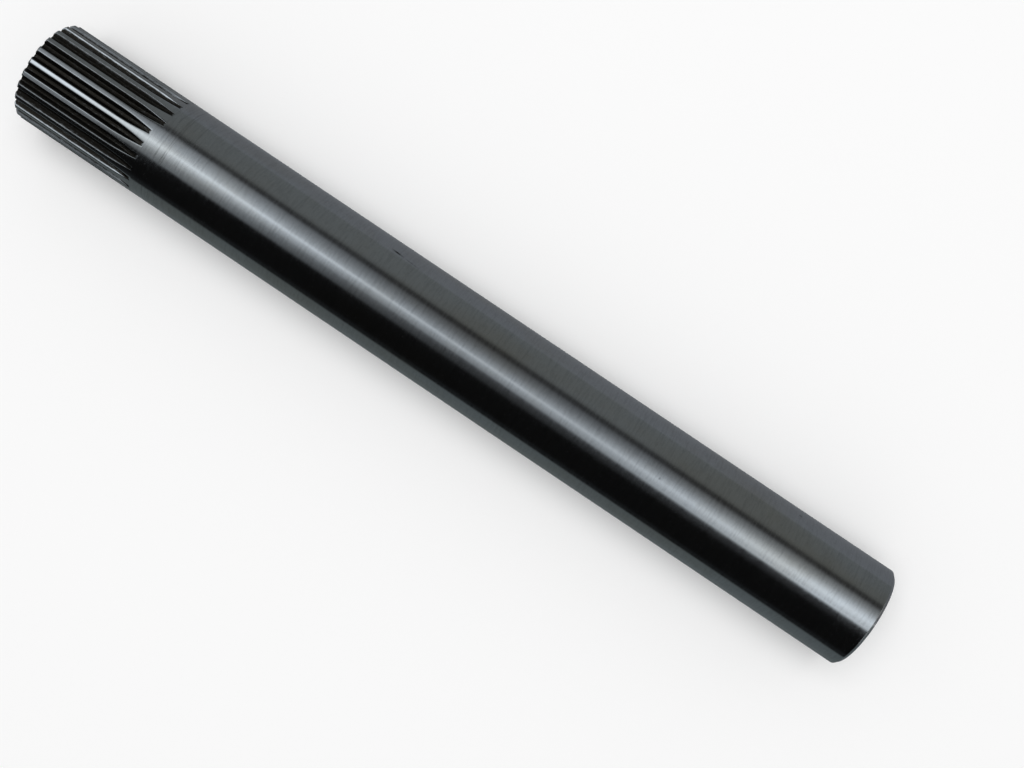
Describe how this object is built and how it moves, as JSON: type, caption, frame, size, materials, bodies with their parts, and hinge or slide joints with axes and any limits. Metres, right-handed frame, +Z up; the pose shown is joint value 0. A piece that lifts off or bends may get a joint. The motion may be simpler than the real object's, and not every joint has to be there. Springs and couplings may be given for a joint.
{
  "type": "axle shaft",
  "caption": "Straight round axle shaft: an external involute spline with run-out at one end, flush with the plain ground body.",
  "frame": {"origin": "centre of the splined end face, on the shaft's axis", "axes": "+X along the axis from the splined end face to the plain end; +Z up, through the middle of one spline tooth"},
  "size_m": [0.45, 0.05, 0.05],
  "materials": {
    "ground_steel": "ground round the axis, semi-bright, with a thin film of oil"
  },
  "bodies": {
    "root": {"axle_shaft": "ground_steel"}
  },
  "joints": []
}
